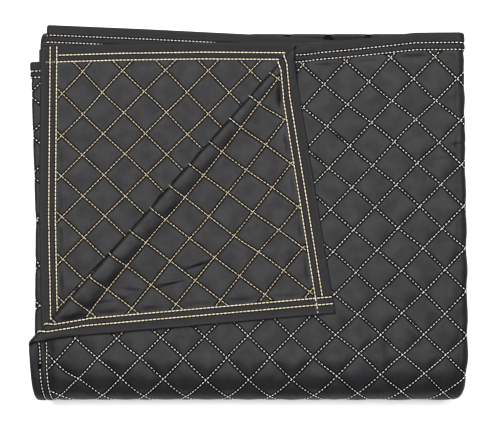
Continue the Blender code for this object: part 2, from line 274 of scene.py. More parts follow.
# Creases pressed into the cloth, as the camera sees them: a trough is negative
CREASES = (
    # name, u, v, turn in degrees, half length, half width, height
    ("right rim", 0.495, 0.1255, -12, 0.011, 0.0024, -0.0017),
    ("bulge under it", 0.486, 0.134, -10, 0.014, 0.0050, 0.0008),
    ("right of centre", 0.474, 0.142, -7, 0.010, 0.0024, -0.0015),
    ("over the roll", 0.404, 0.346, 86, 0.022, 0.0045, 0.0013),
    ("beside it", 0.414, 0.338, 94, 0.018, 0.0040, -0.0013),
    ("flap, middle fold", 0.066, 0.145, 103, 0.016, 0.0024, -0.0022),
    ("flap, over it", 0.072, 0.143, 103, 0.016, 0.0040, 0.0008),
    ("flap, second fold", 0.057, 0.170, 88, 0.013, 0.0024, -0.0020),
    ("flap, third fold", 0.049, 0.172, 101, 0.018, 0.0024, -0.0022),
    ("flap, between them", 0.053, 0.176, 96, 0.018, 0.0030, 0.0012),
    ("flap, low and left", 0.034, 0.252, 95, 0.016, 0.0026, -0.0017),
    ("flap, over that", 0.042, 0.244, 95, 0.020, 0.0045, 0.0010),
    ("flap, left end", 0.046, 0.222, 80, 0.014, 0.0024, -0.0016),
    ("flap, near its corner", 0.040, 0.055, 70, 0.018, 0.0040, 0.0007),
    ("flap, right", 0.150, 0.040, 12, 0.024, 0.0046, 0.0007),
    ("flap, upper right", 0.220, 0.050, 160, 0.026, 0.0046, 0.0007),
    ("left tape, upper pleat", 1.992, 0.216, 0, 0.010, 0.0022, -0.0014),
    ("left tape, pleat", 1.992, 0.275, 0, 0.010, 0.0022, -0.0015),
    ("left tape, lower pleat", 1.990, 0.304, 0, 0.012, 0.0022, -0.0015),
    ("flap's right tape, pleat", 0.052, 0.008, 90, 0.010, 0.0022, -0.0014),
)

# The fabric's colours: two tones of charcoal, its grain, its slubs, and the painted shade
# beside stitches
CHARCOAL = ((0.0066, 0.0066, 0.0078), (0.0094, 0.0094, 0.0112))
GRAIN_TONE = (0.0046, 0.0046, 0.0054)
SLUB_TONE = (0.018, 0.018, 0.019)
SHADED_BLACK = (0.003, 0.003, 0.003)
SHADED_BROWN = (0.008, 0.005, 0.003)
BROWN_ON_OUTER_FACE = 0.3
LINE_SHADE = 0.85
ROW_SHADE = 0.8
THREAD_SHADE = 0.55

# The threads' colours: light and dark
PALE = ((0.90, 0.89, 0.84), (0.66, 0.64, 0.58))
GOLDEN = ((0.76, 0.71, 0.57), (0.62, 0.52, 0.34))

# How far the dark shade reaches beside the quilting's lines and the tape's rows
LINE_REACH = (0.0010, 0.0052)
ROW_REACH = (0.0008, 0.0028)

# The fabric's gloss, and what is left of it beside stitches and where it tilts away
ROUGHNESS = 0.45
SHADED_ROUGHNESS = 0.9
EVEN_GLOSS = 0.3
SHADED_GLOSS_SHARE = 0.1
TAPE_GLOSS = (0.33, 0.04)
TILT_REACH = (0.03, 0.40)
TILTED_GLOSS_SHARE = 0.2

# Noise in the materials: scale, detail and stretch
FLAT = (1, 1, 0)
CLOTH_LUMPS = (60, 3, FLAT)
CLOTH_GRAIN = (900, 2, FLAT)
CLOTH_SLUBS = (420, 2, (1, 0.12, 0))
TAPE_TONE_LUMPS = (140, 3, FLAT)
TAPE_GRAIN = (1200, 2, FLAT)
THREAD_TONES = (700, 1, FLAT)
THREAD_TWIST = (2500, 1)
FLOOR_CLOUDS = (1.5, 2)

# What a noise is used as: its low and high, and what they become
GRAIN_SHARE = (0.35, 0.7, 0, 0.5)
TAPE_GRAIN_SHARE = (0.35, 0.7, 0, 0.45)
SLUB_SHARE = (0.55, 0.75, 0, 0.25)
CLOTH_GLOSS = (0.3, 0.7, 0.27, 0.38)
THREAD_TONE = (0.3, 0.7, 0, 1)
TWIST_SHADE = (0.4, 0.75, 0, 0.4)

# The weaves' pitch, and each material's bump: distance and strength
CLOTH_WEAVE = 0.0011
TAPE_WEAVE = 0.0009
CLOTH_BUMP = (0.0004, 0.55)
TAPE_BUMP = (0.0003, 0.5)
THREAD_BUMP = (0.0002, 0.6)

# The studio
FLOOR_HALF = 4.0
FLOOR_COLOURS = ((0.86, 0.86, 0.86), (0.88, 0.88, 0.88))
LAMPS = (
    # name, place, width, power in watts
    ("over the camera", (0.0, 0.36, 1.86), 1.2, 72),
    ("from behind and left", (-0.5, 1.1, 1.3), 0.35, 6),
)
WORLD_STRENGTH = 0.06
CAMERA_PLACE = (0.002, 0.00265, 0.988)
CAMERA_SENSOR = 36
CAMERA_LENS = 55.6


class Section:
    """The cloth's line in one plane: straight runs joined by half-ellipse bends."""

    def __init__(self, start, level, heading):
        self.facing = heading
        self.heading = heading
        self.place = start - heading * SPARE
        self.level = level
        self.samples = []
        self.lengths = []
        self.bends = []
        self.add(self.place, level, 0, heading)

    def add(self, place, level, along, up):
        """One sample; along and up point out of the cloth's outer side."""
        size = math.hypot(along, up) * self.facing
        step = 0.0
        if self.samples:
            last = self.samples[-1]
            step = self.lengths[-1] + math.hypot(place - last[0], level - last[1])
        self.lengths.append(step)
        self.samples.append((place, level, along / size, up / size))

    def run_to(self, place):
        self.place = place
        self.add(place, self.level, 0, self.heading)

    def bend_to(self, level, bulge):
        middle = (self.level + level) / 2
        half = (self.level - level) / 2
        first = self.lengths[-1]
        for step in range(1, BEND_SAMPLES + 1):
            angle = math.pi * step / BEND_SAMPLES
            across = math.sin(angle)
            down = math.cos(angle)
            place = self.place + bulge * across
            self.add(place, middle + half * down, half * across, bulge * down)
        self.level = level
        self.heading = -self.heading
        self.bends.append((first - SPARE, self.lengths[-1] - SPARE))

    def end_at(self, place):
        self.length = self.lengths[-1] + abs(place - self.place) - SPARE
        self.run_to(place + self.heading * SPARE)
        self.columns = np.array(self.samples).T

    def at(self, length, offset):
        """The place this far along the cloth and this far off its middle."""
        values = [np.interp(length + SPARE, self.lengths, c) for c in self.columns]
        place, level, along, up = values
        return place + offset * along, level + offset * up


def ply_height(level):
    return level * PLY_PITCH


def strip_height(level):
    """The height of the middle of a strip in the stack, counted from below."""
    return PLAIN_HALF + TOP_PLY_LEVEL * PLY_PITCH + level * STRIP_PITCH


def folded_section(start, level, heading, folds, end, height):
    section = Section(start, height(level), heading)
    for _, place, level, bulge in folds:
        section.run_to(place)
        section.bend_to(height(level), bulge)
    section.end_at(end)
    return section


def crease_ramp():
    """Reach, rise and tilt up the soft slope before the turn."""
    share = np.linspace(0, 1, BEND_SAMPLES + 1)
    rise = CREASE_RISE * share**2 * (3 - 2 * share)
    tilt = np.arctan2(6 * CREASE_RISE * share * (1 - share), CREASE_RAMP)
    return CREASE_RAMP * share - CREASE_RAMP, rise, tilt


def crease_roll():
    """Reach, rise and tilt round the turn, a little further than half of a circle."""
    tilt = np.linspace(0, math.pi + CREASE_STEEPEST, BEND_SAMPLES + 1)
    rise = CREASE_RISE + CREASE_ROLL_RADIUS * (1 - np.cos(tilt))
    return CREASE_ROLL_RADIUS * np.sin(tilt), rise, tilt


def crease_easing():
    """Reach, rise and tilt down the flap's slope, steepest where the turn ends."""
    left = np.linspace(1, 0, BEND_SAMPLES + 1)
    run = CREASE_EASE - CREASE_ROLL_RADIUS * math.sin(CREASE_STEEPEST)
    top = CREASE_RISE + CREASE_ROLL_RADIUS * (1 + math.cos(CREASE_STEEPEST))
    climb = top - FLAP_LIFT
    steepness = climb * CREASE_EASING * left ** (CREASE_EASING - 1) / run
    rise = FLAP_LIFT + climb * left**CREASE_EASING
    return run * left - CREASE_EASE, rise, math.pi + np.arctan(steepness)


class Crease:
    """The turned corner: up a ramp, round a slanting line, and down to the flap."""

    def __init__(self):
        flap = ([-CREASE_EASE - FLAP_RUN], [FLAP_LIFT], [math.pi])
        columns = [crease_ramp(), crease_roll(), crease_easing(), flap]
        reach, rise, tilt = np.concatenate(columns, axis=1)
        steps = np.hypot(np.diff(reach), np.diff(rise))
        lengths = np.concatenate([[0.0], np.cumsum(steps)])
        self.ramp_length = lengths[BEND_SAMPLES]
        self.round_length = math.pi * CREASE_ROLL_RADIUS
        self.lengths = lengths - self.ramp_length
        reach = reach + self.lengths[0] - reach[0]
        self.turned_back = self.lengths[-2] + reach[-2]
        self.columns = np.array([reach, rise, tilt])
        size = math.hypot(CREASE_ON_TOP_EDGE, CREASE_ON_LEFT_EDGE)
        self.to_corner = (-CREASE_ON_LEFT_EDGE / size, -CREASE_ON_TOP_EDGE / size)

    def past(self, a, b):
        """How far a place on the flat cloth lies past the line where the bend starts."""
        along_a = (a - CREASE_ON_TOP_EDGE) * self.to_corner[0]
        return along_a + b * self.to_corner[1]

    def turn(self, a, b, offset):
        """Turns the corner over, and gives each place its height off the ply."""
        past = self.past(a, b)
        reach, rise, tilt = [np.interp(past, self.lengths, c) for c in self.columns]
        bent = past > -self.ramp_length
        shift = np.where(bent, reach - past - offset * np.sin(tilt), 0)
        height = np.where(bent, rise + offset * np.cos(tilt), offset)
        return a + shift * self.to_corner[0], b + shift * self.to_corner[1], height


WIDTH = folded_section(WIDTH_START, TOP_PLY_LEVEL, 1, WIDTH_FOLDS, WIDTH_END, ply_height)
LENGTH = folded_section(LENGTH_START, TOP_STRIP, -1, LENGTH_FOLDS, LENGTH_END, strip_height)
CREASE = Crease()


def slipped(u, v):
    """Where a point of the cut cloth lies along both sections."""
    top_end = 1 - v / LENGTH.bends[0][0]
    left_end = 1 - u / WIDTH.bends[0][0]
    corner = np.clip(left_end, 0, 1) * np.clip(top_end, 0, 1)
    _, places, firsts, lasts = zip(*SLIP)
    first = np.interp(u, places, firsts)
    last = np.interp(u, places, lasts)
    last_end = (v - LENGTH.bends[-1][1]) / (LENGTH.length - LENGTH.bends[-1][1])
    slip = first * np.clip(top_end, 0, 1) + last * np.clip(last_end, 0, 1)
    return u - CORNER_REACH * corner, v - CORNER_RISE * corner + slip


def side_drift(u, v):
    """How far a point lies to the right of its place in the width's section."""
    _, places, *columns = zip(*SIDE_DRIFT)
    drifts = [np.interp(v, places, column) for column in columns]
    bounds = [0.0]
    values = [np.zeros_like(v)]
    for bend, drift in zip(WIDTH.bends, drifts):
        bounds += bend
        values += [drift, drift]
    bounds.append(WIDTH.length)
    values.append(drifts[-1])
    total = values[0]
    for low, high, before, after in zip(bounds, bounds[1:], values, values[1:]):
        share = np.clip((u - low) / (high - low), 0, 1)
        total = total + share * (after - before)
    return total


def folded(u, v, offset):
    """The place in the stack of each point of the flat cloth."""
    a, b = slipped(u, v)
    a, b, height = CREASE.turn(a, b, offset)
    x, strip_offset = WIDTH.at(a, height)
    y, z = LENGTH.at(b, strip_offset)
    return np.stack([x + side_drift(u, v) + STACK_X, y + STACK_Y, z], axis=-1)


def mottled(u, v, size, seed):
    """Smooth unevenness between -1 and 1, in lumps of about this size."""
    heights = np.random.RandomState(seed).uniform(-1, 1, (LATTICE, LATTICE))
    column, row = np.floor(u / size), np.floor(v / size)
    across, along = u / size - column, v / size - row
    across, along = across**2 * (3 - 2 * across), along**2 * (3 - 2 * along)
    column, row = column.astype(int) % LATTICE, row.astype(int) % LATTICE
    right, above = (column + 1) % LATTICE, (row + 1) % LATTICE
    near = heights[column, row] * (1 - across) + heights[right, row] * across
    far = heights[column, above] * (1 - across) + heights[right, above] * across
    return near * (1 - along) + far * along


def quilting_drift(u, v):
    """How far the quilting lies off its even pattern, near this place in it."""
    total = np.zeros_like(u)
    across, along = np.zeros_like(u), np.zeros_like(u)
    for _, row_u, row_v, drift_u, drift_v in QUILTING_DRIFT:
        squared = (u - row_u) ** 2 + (v - row_v) ** 2
        weight = (squared + DRIFT_REACH**2) ** -2
        total = total + weight
        across = across + weight * drift_u
        along = along + weight * drift_v
    return across / total, along / total


def in_pattern(u, v):
    """Where a place of the cloth lies in the quilting's even pattern."""
    pattern_u, pattern_v = u, v
    for _ in range(3):
        across, along = quilting_drift(pattern_u, pattern_v)
        pattern_u, pattern_v = u - across, v - along
    return pattern_u, pattern_v


def line_phases(u, v):
    """How far a place is between lines of each slanting family, in line steps."""
    pattern_u, pattern_v = in_pattern(u, v)
    one = (pattern_u - CROSSING_U + pattern_v - CROSSING_V) / DIAMOND
    other = (pattern_u - CROSSING_U - pattern_v + CROSSING_V) / DIAMOND
    return one, other


def puff(u, v):
    """How high a diamond stands: 0 on its stitches, about 1 at its centre."""
    one, other = line_phases(u, v)
    rounded = 1.0
    for phase in (one, other):
        off_line = 2 * abs(phase - np.round(phase))
        rounded = rounded * (1 - (1 - off_line) ** PUFF_STEEPNESS)
    random = np.random.RandomState(DIAMONDS_SEED).uniform(-1, 1, (LATTICE, LATTICE))
    column, row = np.floor(one).astype(int), np.floor(other).astype(int)
    own = random[column % LATTICE, row % LATTICE]
    return rounded * (1 + PUFF_VARIES * own)


def smooth_step(value, low, high):
    share = np.clip((value - low) / (high - low), 0, 1)
    return share * share * (3 - 2 * share)


def near(value, bends, margin):
    """1 inside the bends, falling to 0 at this margin outside them."""
    found = np.zeros_like(value)
    for start, end in bends:
        outside = np.maximum(start - value, value - end)
        found = np.maximum(found, 1 - smooth_step(outside, 0, margin))
    return found


def inward_of_edge(u, v):
    across = np.minimum(u, WIDTH.length - u)
    return np.minimum(across, np.minimum(v, LENGTH.length - v))


def on_top(u, v):
    """Whether a point lies in the top ply, the front roll and the corner included."""
    return (u < WIDTH.bends[0][1]) & (v < LENGTH.bends[0][1])


def under_flap(u, v):
    """Whether a point of the top ply lies under the turned corner."""
    a, b = slipped(u, v)
    past = CREASE.past(a, b)
    back = CREASE.turned_back - 2 * past
    inside = (a + back * CREASE.to_corner[0] > 0) & (b + back * CREASE.to_corner[1] > 0)
    return inside & (past < 0)


def turned_over(u, v):
    """Whether a point lies past the middle of the turned corner's bend."""
    return on_top(u, v) & (CREASE.past(*slipped(u, v)) > CREASE.round_length / 2)


def exposed(u, v, side):
    """Whether this face shows from above, so that its diamonds can stand higher."""
    if side > 0:
        return on_top(u, v) & ~under_flap(u, v) & ~turned_over(u, v)
    return turned_over(u, v)


def half_thickness(u, v, side):
    """Half of the quilt's thickness, from its middle surface to one face."""
    raised = PUFFED_HALF - STITCHED_HALF + EXPOSED_PUFF * exposed(u, v, side)
    past = CREASE.past(*slipped(u, v))
    at_crease = near(past, [(0, CREASE.round_length)], CREASE_MARGIN)
    at_rim = near(u, WIDTH.bends[:1], RIM_MARGIN)
    low_on_roll = near(v, [ROLL_RIM], ROLL_RIM_MARGIN) * (side > 0)
    pressed = PRESSED * np.maximum(np.maximum(at_crease, at_rim), low_on_roll)
    half = STITCHED_HALF + raised * (1 - pressed) * puff(u, v)
    across = near(u, WIDTH.bends[1:], TIGHT_MARGIN)
    tight = np.maximum(across, near(v, LENGTH.bends[1:], TIGHT_MARGIN))
    half = half + (np.minimum(half, CREASED_HALF) - half) * tight
    start, end = LENGTH.bends[0]
    resting = v > start + ROLL_QUILTED_SHARE * (end - start)
    resting &= (u < WIDTH.bends[0][1]) & (v < LENGTH.bends[1][0])
    half = np.where(resting, np.minimum(half, PLAIN_HALF), half)
    inward = inward_of_edge(u, v)
    share = smooth_step(inward, CLEAR_OF_TAPE, CLEAR_OF_TAPE + EDGE_MARGIN)
    return EDGE_HALF + (half - EDGE_HALF) * share


def middle_height(u, v):
    """How far creases and slack move the middle of the cloth off its fold."""
    height = np.zeros_like(u)
    for _, crease_u, crease_v, turn, half_length, half_width, size in CREASES:
        angle = math.radians(turn)
        across, along = u - crease_u, v - crease_v
        lengthways = across * math.cos(angle) + along * math.sin(angle)
        sideways = along * math.cos(angle) - across * math.sin(angle)
        spread = (lengthways / half_length) ** 2 + (sideways / half_width) ** 2
        height += size * np.exp(-spread)
    loose = LOOSE * (1 + mottled(u, v, *LOOSE_LUMPS))
    loose = loose + RUFFLED * mottled(u, v, *RUFFLED_LUMPS)
    start, end = LENGTH.bends[0]
    loose_end = start + LOOSE_SHARE_OF_ROLL * (end - start)
    free = on_top(u, v) * (1 - smooth_step(v, start, loose_end))
    covered = LOST_UNDER_FLAP * under_flap(u, v)
    upward = 1 - 2 * turned_over(u, v)
    slack = upward * free * (1 - covered) * (height + loose)
    return np.where(u > WIDTH.bends[-1][1], -height, slack)


def face_point(u, v, side, lift=0.0):
    """A point on the cloth's outer (1) or inner (-1) face, raised by lift."""
    offset = side * (half_thickness(u, v, side) + lift) + middle_height(u, v)
    return folded(u, v, offset)


def flat_lines(section, origin):
    """Lines of the flat grid: at edges, tapes and bends, and on half diamonds between."""
    breaks = [0.0, CLEAR_OF_TAPE, section.length - CLEAR_OF_TAPE, section.length]
    breaks += [place for bend in section.bends for place in bend]
    first = math.ceil(-origin / CELL)
    last = math.floor((section.length - origin) / CELL)
    lines = list(breaks)
    for number in range(first, last + 1):
        place = origin + number * CELL
        if min(abs(place - other) for other in breaks) > NARROWEST_CELL:
            lines.append(place)
    return np.array(sorted(lines))


def in_bends(value, bends, margin=0.0):
    return any(start - margin < value < end + margin for start, end in bends)


def turned_or_uncovered(u, v):
    """Where the inner face shows: on the turned corner and on the ply under it."""
    a, b = slipped(np.array(u), np.array(v))
    turned = CREASE.past(a, b) > -FINE_BEFORE_CREASE
    return turned or (WIDTH.length - u) / FINE_UNCOVERED_U + v / FINE_UNCOVERED_V < 1


def hidden_by_flap(u, v):
    """Whether a cell of the outer face lies wholly in the turned corner or under it."""
    near_u = u + CELL_SURROUNDINGS * np.array([-1, 1, -1, 1])
    near_v = v + CELL_SURROUNDINGS * np.array([-1, -1, 1, 1])
    turned = CREASE.past(*slipped(near_u, near_v)) > CREASE.round_length
    return bool(np.all(under_flap(near_u, near_v)) or np.all(turned))


def creased(u, v):
    """Whether one of the narrow creases pressed in crosses this cell."""
    for _, crease_u, crease_v, turn, half_length, half_width, _ in CREASES:
        angle = math.radians(turn)
        reach_u = abs(half_length * math.cos(angle)) + CELL / 2
        reach_v = abs(half_length * math.sin(angle)) + CELL / 2
        crossed = abs(u - crease_u) < reach_u and abs(v - crease_v) < reach_v
        if crossed and half_width < NARROW_CREASE:
            return True
    return False


def cell_parts(u, v, side):
    """Into how many parts, each way, a cell of this face is divided."""
    across = USUAL_PARTS if in_bends(u, WIDTH.bends) else 1
    along = COARSE_PARTS if in_bends(v, LENGTH.bends) else 1
    turned = bool(turned_over(np.array(u), np.array(v)))
    if creased(u, v) and turned == (side < 0):
        return PARTS, PARTS
    if side > 0:
        if u < WIDTH.bends[0][1] and v < LENGTH.bends[0][1]:
            parts = COARSE_PARTS if hidden_by_flap(u, v) else USUAL_PARTS
            return parts, parts
        if in_bends(u, WIDTH.bends[:1], FINE_BY_RIM):
            return USUAL_PARTS, COARSE_PARTS
        if u < WIDTH.bends[0][1] and in_bends(v, LENGTH.bends[1:2], FINE_BY_FOLD):
            return COARSE_PARTS, USUAL_PARTS
        if in_bends(u, WIDTH.bends[1:2], FINE_BY_FOLD):
            return USUAL_PARTS, COARSE_PARTS
    elif turned_or_uncovered(u, v):
        return USUAL_PARTS, USUAL_PARTS
    return across, along


def graded_grid(u_lines, v_lines, side):
    """Points and faces of a flat grid whose cells are divided as cell_parts says."""
    found = {}
    cells = []
    for i in range(len(u_lines) - 1):
        middle_u = (u_lines[i] + u_lines[i + 1]) / 2
        for j in range(len(v_lines) - 1):
            middle_v = (v_lines[j] + v_lines[j + 1]) / 2
            across, along = cell_parts(middle_u, middle_v, side)
            step_i, step_j = PARTS // across, PARTS // along
            low_i, low_j = i * PARTS, j * PARTS
            for p in range(low_i, low_i + PARTS + 1, step_i):
                for q in range(low_j, low_j + PARTS + 1, step_j):
                    found.setdefault((p, q), len(found))
            cells.append((low_i, low_j, step_i, step_j))
    faces = []
    for low_i, low_j, step_i, step_j in cells:
        for p in range(low_i, low_i + PARTS, step_i):
            for q in range(low_j, low_j + PARTS, step_j):
                rim = [(p + k, q) for k in range(step_i)]
                rim += [(p + step_i, q + k) for k in range(step_j)]
                rim += [(p + step_i - k, q + step_j) for k in range(step_i)]
                rim += [(p, q + step_j - k) for k in range(step_j)]
                faces.append([found[key] for key in rim if key in found])
    keys = np.array(list(found))
    u = np.interp(keys[:, 0] / PARTS, np.arange(len(u_lines)), u_lines)
    v = np.interp(keys[:, 1] / PARTS, np.arange(len(v_lines)), v_lines)
    return keys, u, v, faces


def rim_walls(outer, inner, columns, rows):
    """Faces that close the cloth's edge between its outer and its inner face."""
    walls = []
    for axis, fixed, turned in ((1, 0, 1), (1, rows, -1), (0, 0, -1), (0, columns, 1)):
        sides = []
        for keys, start in ((outer, 0), (inner, len(outer))):
            on_edge = np.flatnonzero(keys[:, axis] == fixed * PARTS)
            order = on_edge[np.argsort(keys[on_edge, 1 - axis])]
            sides.append([(keys[k, 1 - axis], int(k) + start) for k in order])
        cells = columns if axis == 1 else rows
        for cell in range(cells):
            low, high = cell * PARTS, (cell + 1) * PARTS
            above = [k for place, k in sides[0] if low <= place <= high]
            below = [k for place, k in sides[1] if low <= place <= high]
            rim = above + below[::-1]
            walls.append(rim[::turned])
    return walls


def new_object(name, points, faces, smooth=True):
    mesh = bpy.data.meshes.new(name)
    mesh.from_pydata(np.asarray(points).tolist(), [], faces)
    mesh.validate()
    if smooth:
        mesh.shade_smooth()
    obj = bpy.data.objects.new(name, mesh)
    bpy.context.scene.collection.objects.link(obj)
    return obj


def mark(obj, name, u, v, side):
    """Keeps each point's place on the flat cloth, for the material to read."""
    marks = obj.data.attributes.new(name, "FLOAT_VECTOR", "POINT")
    marks.data.foreach_set("vector", np.stack([u, v, side], axis=1).ravel())


def quilted_cloth():
    """The cloth, its outer and its inner face joined round the edge."""
    u_lines, v_lines = flat_lines(WIDTH, CROSSING_U), flat_lines(LENGTH, CROSSING_V)
    points, faces, keys, marks = [], [], [], []
    count = 0
    for side in (1, -1):
        key, u, v, own = graded_grid(u_lines, v_lines, side)
        points.append(face_point(u, v, side))
        marks.append(np.stack([u, v, np.full_like(u, side)]))
        keys.append(key)
        faces += [[k + count for k in face[::-side]] for face in own]
        count += len(u)
    faces += rim_walls(*keys, len(u_lines) - 1, len(v_lines) - 1)
    points = np.concatenate(points)
    points[:, 2] = np.maximum(points[:, 2], 0)
    obj = new_object("quilted_cloth", points, faces)
    u, v, side = np.concatenate(marks, axis=1)
    mark(obj, "cloth", u, v, side)
    mark(obj, "pattern", *in_pattern(u, v), side)
    return obj


def tape_outline():
    """The tape's section, outside and inside: inward of the edge, and off it."""
    inner = EDGE_HALF + TAPE_GAP
    outer = inner + TAPE_THICKNESS
    puffed = outer + TAPE_PUFF
    by_row, highest, by_edge = PUFFED_BESIDE_ROWS
    outside = (
        (TAPE_WIDTH, inner + SEAM_ROUNDING),
        (TAPE_WIDTH - SEAM_ROUNDING, outer - SEAM_BEVEL),
        (INNER_ROW, outer - ROW_DIMPLE),
        ((INNER_ROW * 3 + OUTER_ROW) / 4, puffed - FALL_BETWEEN_ROWS),
        ((INNER_ROW + OUTER_ROW) / 2, puffed),
        ((INNER_ROW + OUTER_ROW * 3) / 4, puffed - FALL_BETWEEN_ROWS),
        (OUTER_ROW, outer - ROW_DIMPLE),
        (OUTER_ROW * by_row, puffed - FALL_BESIDE_ROWS),
        (OUTER_ROW * highest, puffed),
        (OUTER_ROW * by_edge, puffed - FALL_BESIDE_ROWS),
        (-TAPE_GAP, outer),
        (-TAPE_GAP - TAPE_THICKNESS, outer * EDGE_ROUNDING),
    )
    inside = ((TAPE_WIDTH, inner), (-TAPE_GAP, inner))
    above = list(outside[::-1]) + list(inside)
    below = [(inward, -offset) for inward, offset in reversed(above)]
    return above + below


def stations(start, end, bends):
    """Places along an edge: even steps, and finer ones round the bends."""
    breaks = [start] + [place for bend in bends for place in bend] + [end]
    places = []
    for low, high in zip(breaks, breaks[1:]):
        step = TAPE_STEP / 2 if (low, high) in bends else TAPE_STEP
        count = max(1, math.ceil((high - low) / step))
        places += [low + (high - low) * k / count for k in range(count)]
    return np.array(places + [end])


def edge_tape(name, along, place):
    """One tape; place gives the flat cloth's u and v for a length and a depth."""
    outline = np.array(tape_outline())
    count, rings = len(outline), len(along)
    length = np.repeat(along, count)
    inward = np.tile(outline[:, 0], rings)
    offset = np.tile(outline[:, 1], rings)
    line = np.full_like(length, TAPE_LUMPS_LINE)
    wave = 1 + TAPE_PUFF_VARIES * mottled(length, line, *TAPE_LUMPS)
    puffed = np.abs(offset) - (EDGE_HALF + TAPE_GAP + TAPE_THICKNESS)
    offset = offset + np.sign(offset) * np.maximum(puffed, 0) * (wave - 1)
    u, v = place(length, inward)
    points = folded(u, v, offset + middle_height(u, v))
    points[:, 2] = np.maximum(points[:, 2], 0)
    faces = []
    for ring in range(rings - 1):
        low, high = ring * count, (ring + 1) * count
        for k in range(count):
            following = (k + 1) % count
            faces.append([low + k, low + following, high + following, high + k])
    faces.append(list(range(count))[::-1])
    faces.append(list(range((rings - 1) * count, rings * count)))
    first, second = points[:count], points[count : 2 * count]
    facing = np.cross(first[1] - first[0], second[0] - first[0])
    if np.dot(facing, first[0] - first.mean(axis=0)) < 0:
        faces = [face[::-1] for face in faces]
    obj = new_object(name, points, faces)
    mark(obj, "cloth", u, v, inward)
    return obj


def edge_tapes():
    """The four tapes, each with the node of the CAD that it stands for."""
    back = TAPE_GAP + TAPE_THICKNESS
    whole = stations(-back, LENGTH.length + back, LENGTH.bends)
    between = TAPE_WIDTH + TAPE_GAP
    short = stations(between, WIDTH.length - between, WIDTH.bends)
    edges = (
        ("corner_side", whole, lambda length, depth: (depth, length)),
        ("far_side", whole, lambda length, depth: (WIDTH.length - depth, length)),
        ("first_end", short, lambda length, depth: (length, depth)),
        ("last_end", short, lambda length, depth: (length, LENGTH.length - depth)),
    )
    tapes = {}
    for name, along, place in edges:
        tapes["binding_" + name] = edge_tape("tape_" + name, along, place)
    return tapes


def face_normals(surface, u, v, side):
    """The way that this face looks at these places."""
    normals = surface(u, v, side, NORMAL_STEP) - surface(u, v, side, 0.0)
    return normals / np.linalg.norm(normals, axis=1, keepdims=True)


def exposed_places(tree, surface, u, v, side):
    """Which of these places have nothing close over them."""
    normals = face_normals(surface, u, v, side)
    starts = surface(u, v, side, 0.0) + normals * FREE_SPACE_START
    found = np.zeros(len(u), bool)
    for number, (start, normal) in enumerate(zip(starts.tolist(), normals.tolist())):
        hit = tree.ray_cast(Vector(start), Vector(normal), FREE_SPACE)
        found[number] = hit[0] is None
    return found


def thread_mesh(points, normals, radius):
    """Short round threads; points holds the four stations along each of them."""
    along = points[2] - points[1]
    along /= np.linalg.norm(along, axis=1, keepdims=True)
    across = np.cross(along, normals)
    corners = []
    for station, (_, _, share) in zip(points, THREAD_STATIONS):
        for corner in range(4):
            angle = math.pi * (0.25 + 0.5 * corner)
            outward = math.sin(angle) * normals + math.cos(angle) * across
            corners.append(station + outward * radius * share)
    vertices = np.stack(corners, axis=1).reshape(-1, 3)
    pattern = [[0, 1, 2, 3], [15, 14, 13, 12]]
    for ring in range(3):
        low = ring * 4
        for k in range(4):
            following = (k + 1) % 4
            pattern.append([low + k, low + 4 + k, low + 4 + following, low + following])
    starts = np.arange(points.shape[1])[:, None, None] * 16
    faces = (np.array(pattern)[None] + starts).reshape(-1, 4)
    return vertices, faces.tolist()


def sewn(name, groups):
    """Sews a thread at each place; a group is surface, side, radius, places and steps."""
    all_points, all_faces, marks, count = [], [], [], 0
    for surface, side, radius, u, v, step_u, step_v in groups:
        places = []
        for share, lift, _ in THREAD_STATIONS:
            places.append(surface(u + share * step_u, v + share * step_v, side, lift))
        normals = face_normals(surface, u, v, side)
        points, faces = thread_mesh(np.array(places), normals, radius)
        all_points.append(points)
        all_faces += [[k + count for k in face] for face in faces]
        marks.append(np.repeat(np.stack([u, v, np.full_like(u, side)]), 16, axis=1))
        count += len(points)
    points = np.concatenate(all_points)
    points[:, 2] = np.maximum(points[:, 2], RESTING)
    obj = new_object(name, points, all_faces)
    mark(obj, "cloth", *np.concatenate(marks, axis=1))
    return obj


def quilting_places():
    """Every stitch of the quilting: its place and the direction of its line."""
    found = []
    reach = WIDTH.length + LENGTH.length
    steps = np.arange(-reach, reach, STITCH_PITCH)
    for lean in (1, -1):
        for number in range(-LINES_EACH_WAY, LINES_EACH_WAY + 1):
            pattern_u = CROSSING_U + number * DIAMOND + steps * math.sqrt(0.5)
            pattern_v = CROSSING_V - lean * steps * math.sqrt(0.5)
            across, along = quilting_drift(pattern_u, pattern_v)
            u, v = pattern_u + across, pattern_v + along
            way_u, way_v = np.gradient(u), np.gradient(v)
            inside = inward_of_edge(u, v) > CLEAR_OF_TAPE - UNDER_TAPE
            found.append(np.stack([u, v, way_u, way_v])[:, inside])
    return np.concatenate(found, axis=1)


def row_places():
    """Every stitch of the two rows in each tape: its place and its row's direction."""
    found = []
    rows = ((OUTER_ROW, OUTER_END_ROW_START), (INNER_ROW, INNER_END_ROW_START))
    side_end = LENGTH.length - SIDE_ROWS_START
    for depth, start in rows:
        across = np.arange(start, WIDTH.length - start, STITCH_PITCH)
        along = np.arange(SIDE_ROWS_START, side_end, STITCH_PITCH)
        for v in (depth, LENGTH.length - depth):
            found.append(np.stack(np.broadcast_arrays(across, v, 1.0, 0.0)))
        for u in (depth, WIDTH.length - depth):
            found.append(np.stack(np.broadcast_arrays(u, along, 0.0, 1.0)))
    return np.concatenate(found, axis=1)


def tape_point(u, v, side, lift=0.0):
    """A point in the stitched dimple of a tape's face, raised by lift."""
    height = EDGE_HALF + TAPE_GAP + TAPE_THICKNESS - ROW_DIMPLE
    return folded(u, v, side * (height + lift) + middle_height(u, v))


